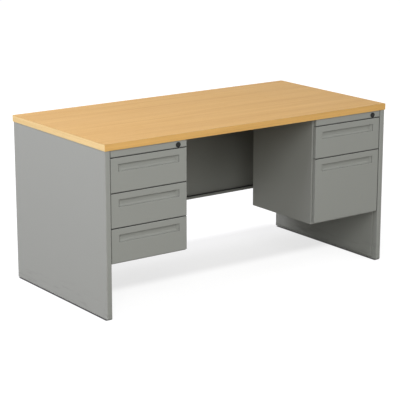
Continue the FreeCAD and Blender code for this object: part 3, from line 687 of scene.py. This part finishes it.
def pull_cheeks(drawer):
    left, right, bottom, top, near, back = pull_cup(drawer)
    outline = [(-INTO_STEEL, near)]
    for step in range(CHEEK_STEPS + 1):
        part = step / CHEEK_STEPS
        bend = 1.0 - (1.0 - part) ** CHEEK_BEND
        outline.append((CHEEK_RUN * part, near + (back - near) * bend))
    outline += [(CHEEK_RUN, back + INTO_STEEL), (-INTO_STEEL, back + INTO_STEEL)]
    for end, wall, inward in (("left", left, 1.0), ("right", right, -1.0)):
        seen_from_above = [Vector((wall + inward * x, y, 0.0)) for x, y in outline]
        cheek = carried_outline(f"pull_cheek_{drawer}_{end}", seen_from_above,
                                (bottom - INTO_STEEL) * UP, (top + INTO_STEEL) * UP)
        cheek.data.materials.append(finishes["grey_enamel"])
        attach(cheek, f"drawer_{drawer}")


for drawer in drawers:
    pull_shade_seam(drawer)
    pull_sweep(drawer)
    pull_cheeks(drawer)
print("seam, sweep and cheeks in the pulls of", drawers)

# %% [markdown]
# ## Drawer-gap seals of painted shade
# A soft black lip along the top of each drawer front fills the gap above it with dark rubber,
# painted shade that makes the gaps between the fronts read as dark lines. A box would do from
# afar; an outline with a round top, carried along the front, also looks right when the drawer
# stands open.

# %% Drawer-gap seals of painted shade
SEAL_BEHIND = 0.0011
SEAL_DEPTH = 0.0024
SEAL_HEIGHT = 0.0033
SEAL_SUNK = 0.0009
SEAL_SHORT = 0.0030
for drawer in drawers:
    low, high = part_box(f"front_{drawer}")
    near, foot = low.y + SEAL_BEHIND, high.z - SEAL_SUNK
    crown = high.z + SEAL_HEIGHT
    outline = [(near + SEAL_DEPTH, foot)]
    outline += [(near + SEAL_DEPTH / 2 * (1.0 + math.cos(angle)),
                 crown - SEAL_DEPTH / 4 * (1.0 - math.sin(angle))) for angle in HALF_TURN]
    outline.append((near, foot))
    seal = carried_outline(f"gap_shade_seal_{drawer}", seen_from_end(outline),
                           (low.x + SEAL_SHORT) * ACROSS, (high.x - SEAL_SHORT) * ACROSS)
    # Black rubber in the gap between the fronts: painted shade.
    seal.data.materials.append(finishes["bumper_rubber"])
    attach(seal, f"drawer_{drawer}")
print("dust seals stand", round(SEAL_HEIGHT * 1000, 1), "mm high on", drawers)

# %% [markdown]
# ## Foot edgings of painted shade
# The folded foot of each end panel is edged with a thin black bead, painted shade for the dark gap
# between the panel and the floor. A dark line could be painted there, but it would be flat. The
# bead from before does it, as a closed loop just inside the foot's outline.

# %% Foot edgings of painted shade
EDGE_RADIUS = 0.0008
EDGE_SUNK_SHARE = 0.75
FOOT_ROUND = 0.005
for side in SIDES:
    low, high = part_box(f"end_panel_skin_{side}")
    left, right = low.x + EDGE_RADIUS, high.x - EDGE_RADIUS
    front, back = low.y + FOOT_ROUND, high.y - FOOT_ROUND
    height = low.z - EDGE_SUNK_SHARE * EDGE_RADIUS
    corners = ((left, front), (right, front), (right, back), (left, back))
    foot = [Vector((x, y, height)) for x, y in corners]
    # A black loop under the foot: painted shade.
    edging = carried_bead(f"foot_shade_edging_{side}", foot, EDGE_RADIUS, UP, closed=True)
    edging.data.materials.append(finishes["bumper_rubber"])
    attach(edging, "frame")
    print(edging.name, "is", round((back - front) * 1000), "mm long")

# %% [markdown]
# ## Gap strips of painted shade
# A cord of the same rubber runs up each end panel beside the drawers, painted shade that darkens
# the gap there. A plain dark gap would be thinner than the line that shows there, so each cord is
# one upright run of the bead that leaves the drawers room to slide past. The left cord stands a
# little proud of the fronts, to show past the rounded edge of its panel; the right one is set
# deeper.

# %% Gap strips of painted shade
GAP_RADIUS = 0.0007
RAIL_CLEAR = 0.001
strip_tops = {"left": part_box("lock_rail_left")[1].z - RAIL_CLEAR,
              "right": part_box("front_right_top")[1].z}
lowest = {"left": "front_left_bottom", "right": "front_right_file"}
for side, inward, proud in (("left", 1.0, 0.0009), ("right", -1.0, -0.0004)):
    low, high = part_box(lowest[side])
    skin_low, skin_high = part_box(f"end_panel_skin_{side}")
    face = skin_high.x if side == "left" else skin_low.x
    run = [Vector((face + inward * GAP_RADIUS, low.y - proud, z))
           for z in (low.z, strip_tops[side])]
    # A dark cord in the gap: painted shade.
    strip = carried_bead(f"gap_shade_cord_{side}", run, GAP_RADIUS, ACROSS)
    strip.data.materials.append(finishes["bumper_rubber"])
    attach(strip, "frame")
    print(strip.name, "is", round((strip_tops[side] - low.z) * 1000), "mm long")

# %% [markdown]
# ## Sill strip of painted shade, and hem
# A ribbed rubber strip lies along the sill of the modesty panel, painted shade that darkens the
# sill.
# A folded hem along the front of the sill keeps it in, so from the front it shows as a dark line
# above a grey lip. A plain bar would do for either from afar. Here each is an outline seen from the
# end, with the ribs as a small wave on the strip's crowned top, carried from end to end.

# %% Sill strip of painted shade, and hem
STRIP_RIBS = 5
RIB_HEIGHT = 0.0004
CROWN_POWER = 4
STRIP_STEPS = 60
STRIP_HEIGHT = 0.0065
STRIP_SHOULDER = 0.0035
STRIP_FRONT_GAP, STRIP_BACK_GAP = 0.002, 0.003
HEM_HEIGHT, HEM_ROUND, HEM_SETBACK = 0.0042, 0.0008, 0.0001
SILL_LIP = 0.008
SILL_END_GAP = 0.006
low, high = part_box("modesty_panel")
sill_top = low.z + SILL_LIP
reach = (high.x - SILL_END_GAP) * ACROSS
front, back = low.y + STRIP_FRONT_GAP, high.y - STRIP_BACK_GAP
outline = [(front, sill_top)]
for step in range(STRIP_STEPS + 1):
    part = step / STRIP_STEPS
    crown = 1.0 - (2.0 * part - 1.0) ** CROWN_POWER
    rib = RIB_HEIGHT * math.cos(2.0 * math.pi * STRIP_RIBS * part)
    outline.append((front + part * (back - front),
                    sill_top + STRIP_SHOULDER + (STRIP_HEIGHT - STRIP_SHOULDER - rib) * crown))
outline.append((back, sill_top))
# Black rubber on the sill: painted shade.
sill_shade_strip = carried_outline("sill_shade_strip", seen_from_end(outline), -reach, reach)

hem_middle = low.y + HEM_SETBACK + HEM_ROUND
hem_foot, hem_crown = sill_top - INTO_STEEL, sill_top + HEM_HEIGHT - HEM_ROUND
outline = [(hem_middle + HEM_ROUND, hem_foot)]
outline += [(hem_middle + HEM_ROUND * math.cos(angle), hem_crown + HEM_ROUND * math.sin(angle))
            for angle in HALF_TURN]
outline.append((hem_middle - HEM_ROUND, hem_foot))
sill_hem = carried_outline("sill_hem", seen_from_end(outline), -reach, reach)
for piece, slot in ((sill_shade_strip, "bumper_rubber"), (sill_hem, "grey_enamel")):
    piece.data.materials.append(finishes[slot])
    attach(piece, "frame")
print("sill strip and hem:", round(2000 * reach.x), "mm long")

# %% [markdown]
# ## Floor
# A studio floor is a pale sheet that shows nothing but the desk's soft shadow. A bare pale plane
# would come out grey, so for the camera and for mirrors its material adds a glow: enough near the
# desk to bring the lit floor to white, more further off, where the lamps hardly reach, less in a
# soft band of painted shade under the rear half of the desk, and almost none in the narrow gap
# under the two end panels, where the paper is painted darker too: a painted contact shadow that
# gives them a dark line to stand on. The light that the floor throws back at the desk is kept low,
# so the knee space stays dark.

# %% Floor
FLOOR_REACH = 40.0
PAPER_BOUNCED, PAPER_SEEN = (0.31, 0.30, 0.27), (0.26, 0.258, 0.26)
PAPER_PAINTED_SHADOW = (0.06, 0.06, 0.06)
GLOW_NEAR, GLOW_SHADE = (0.88, 0.88, 0.88), (0.725, 0.725, 0.725)
GLOW_FAR, GLOW_IN_PAINTED_SHADOW = (1.0, 1.0, 1.0), (0.05, 0.05, 0.05)
FAR_FROM, FAR_TO = 1.2, 4.5
PANEL_MIDDLE, PANEL_HALF, PANEL_HALF_DEPTH = 0.7473, 0.019, 0.376
PANEL_SIDE_FADE, PANEL_END_FADE = 0.007, 0.010
SHADE_MIDDLE, SHADE_HALF, SHADE_HALF_WIDTH, SHADE_FADE = 0.19, 0.23, 0.76, 0.05
RAYS_THAT_SEE = ("Is Camera Ray", "Is Glossy Ray", "Is Transmission Ray")

sheet = bpy.data.meshes.new("studio_floor")
corners = ((-1, -1), (1, -1), (1, 1), (-1, 1))
sheet.from_pydata([(FLOOR_REACH * x, FLOOR_REACH * y, 0.0) for x, y in corners], [], [(0, 1, 2, 3)])
studio_floor = bpy.data.objects.new("studio_floor", sheet)
scene.collection.objects.link(studio_floor)

finish, shader, place = new_finish("studio_floor", {"Roughness": 0.9, "Specular IOR Level": 0.0})
seen, glossy, through = place.node("ShaderNodeLightPath", {}, {}, *RAYS_THAT_SEE)
distance = place.node("ShaderNodeVectorMath", {"operation": "LENGTH"}, {0: place}, "Value")
far = spread(distance, FAR_FROM, FAR_TO)
x, y = split_axes(place, "X", "Y")
# A painted contact shadow: darker paper and almost no glow under the end panels.
painted_shadow_under_panel = (spread(PANEL_HALF - abs(abs(x) - PANEL_MIDDLE), 0.0, PANEL_SIDE_FADE)
               * spread(PANEL_HALF_DEPTH - abs(y), 0.0, PANEL_END_FADE))
# A painted shade: less glow in a band under the rear half of the desk.
painted_shade_under_desk = (spread(SHADE_HALF - abs(y - SHADE_MIDDLE), -SHADE_FADE, SHADE_FADE)
              * spread(SHADE_HALF_WIDTH - abs(x), -SHADE_FADE, SHADE_FADE))
paper = blend(seen, PAPER_BOUNCED, PAPER_SEEN)
feed(shader, Base_Color=blend(painted_shadow_under_panel, paper, PAPER_PAINTED_SHADOW))
halo = blend(far, blend(painted_shade_under_desk, GLOW_NEAR, GLOW_SHADE), GLOW_FAR)
glow = place.node("ShaderNodeEmission", {}, {"Color": blend(painted_shadow_under_panel, halo, GLOW_IN_PAINTED_SHADOW),
                                             "Strength": seen + glossy + through})
both = place.node("ShaderNodeAddShader", {}, {0: Wire(place.tree, shader.outputs[0]), 1: glow})
place.tree.links.new(both.socket, place.tree.nodes["Material Output"].inputs["Surface"])
sheet.materials.append(finish)
print("floor reaches", FLOOR_REACH, "m each way")

# %% [markdown]
# ## Studio light
# Seven wide soft lights stand round the desk as in a plain photo studio. The three strong ones are
# high on the left, to the left of the front and behind on the left, so that the left panel is the
# brightest steel. Weaker ones fill in from between those, low in front, from the right and from
# behind, for the top. One big light from above would be simpler, but it would leave the fronts as
# dark as the knee space. The room itself gives almost nothing, which keeps the knee space dark, but
# it is white where the camera or a reflection looks straight at it.

# %% Studio light
ROOM_LEVEL = 0.04
LIGHT_WIDTH = 3.0
LIGHT_DISTANCE = 5.5
AIMED_AT = Vector((0.0, 0.0, 0.4))
WHITE = (1.0, 1.0, 1.0)
# Degrees from the front towards the left, degrees up, watts and colour.
STUDIO_LIGHTS = {
    "left_light": (90.0, 45.0, 142.0, (1.0, 0.985, 1.12)),
    "middle_left_light": (60.0, 30.0, 21.0, WHITE),
    "front_left_light": (30.0, 30.0, 142.0, WHITE),
    "front_light": (-20.0, 12.0, 29.0, WHITE),
    "right_light": (-45.0, 40.0, 51.0, WHITE),
    "back_left_light": (120.0, 40.0, 112.0, (1.0, 0.99, 1.06)),
    "back_light": (180.0, 50.0, 80.0, WHITE),
}

world = bpy.data.worlds.new("studio_room")
scene.world = world
world.use_nodes = True
backdrop = world.node_tree.nodes["Background"]
backdrop.inputs["Color"].default_value = (*WHITE, 1.0)
room = Wire(world.node_tree, backdrop.outputs[0])
seen, glossy, through = room.node("ShaderNodeLightPath", {}, {}, *RAYS_THAT_SEE)
level = ROOM_LEVEL + (seen + glossy + through) * (1.0 - ROOM_LEVEL)
world.node_tree.links.new(level.socket, backdrop.inputs["Strength"])


def soft_light(name, from_front, elevation, watts, colour):
    """A wide lamp aimed at the desk from a bearing and a height in degrees."""
    lamp = bpy.data.lights.new(name, "AREA")
    lamp.size = LIGHT_WIDTH
    lamp.energy = watts
    lamp.color = colour
    bearing, rise = math.radians(from_front), math.radians(elevation)
    away = Vector((-math.sin(bearing) * math.cos(rise), -math.cos(bearing) * math.cos(rise),
                   math.sin(rise)))
    stand = bpy.data.objects.new(name, lamp)
    stand.location = AIMED_AT + away * LIGHT_DISTANCE
    stand.rotation_euler = (-away).to_track_quat("-Z", "Y").to_euler()
    scene.collection.objects.link(stand)


for name, settings in STUDIO_LIGHTS.items():
    soft_light(name, *settings)
print("lights:", list(STUDIO_LIGHTS))
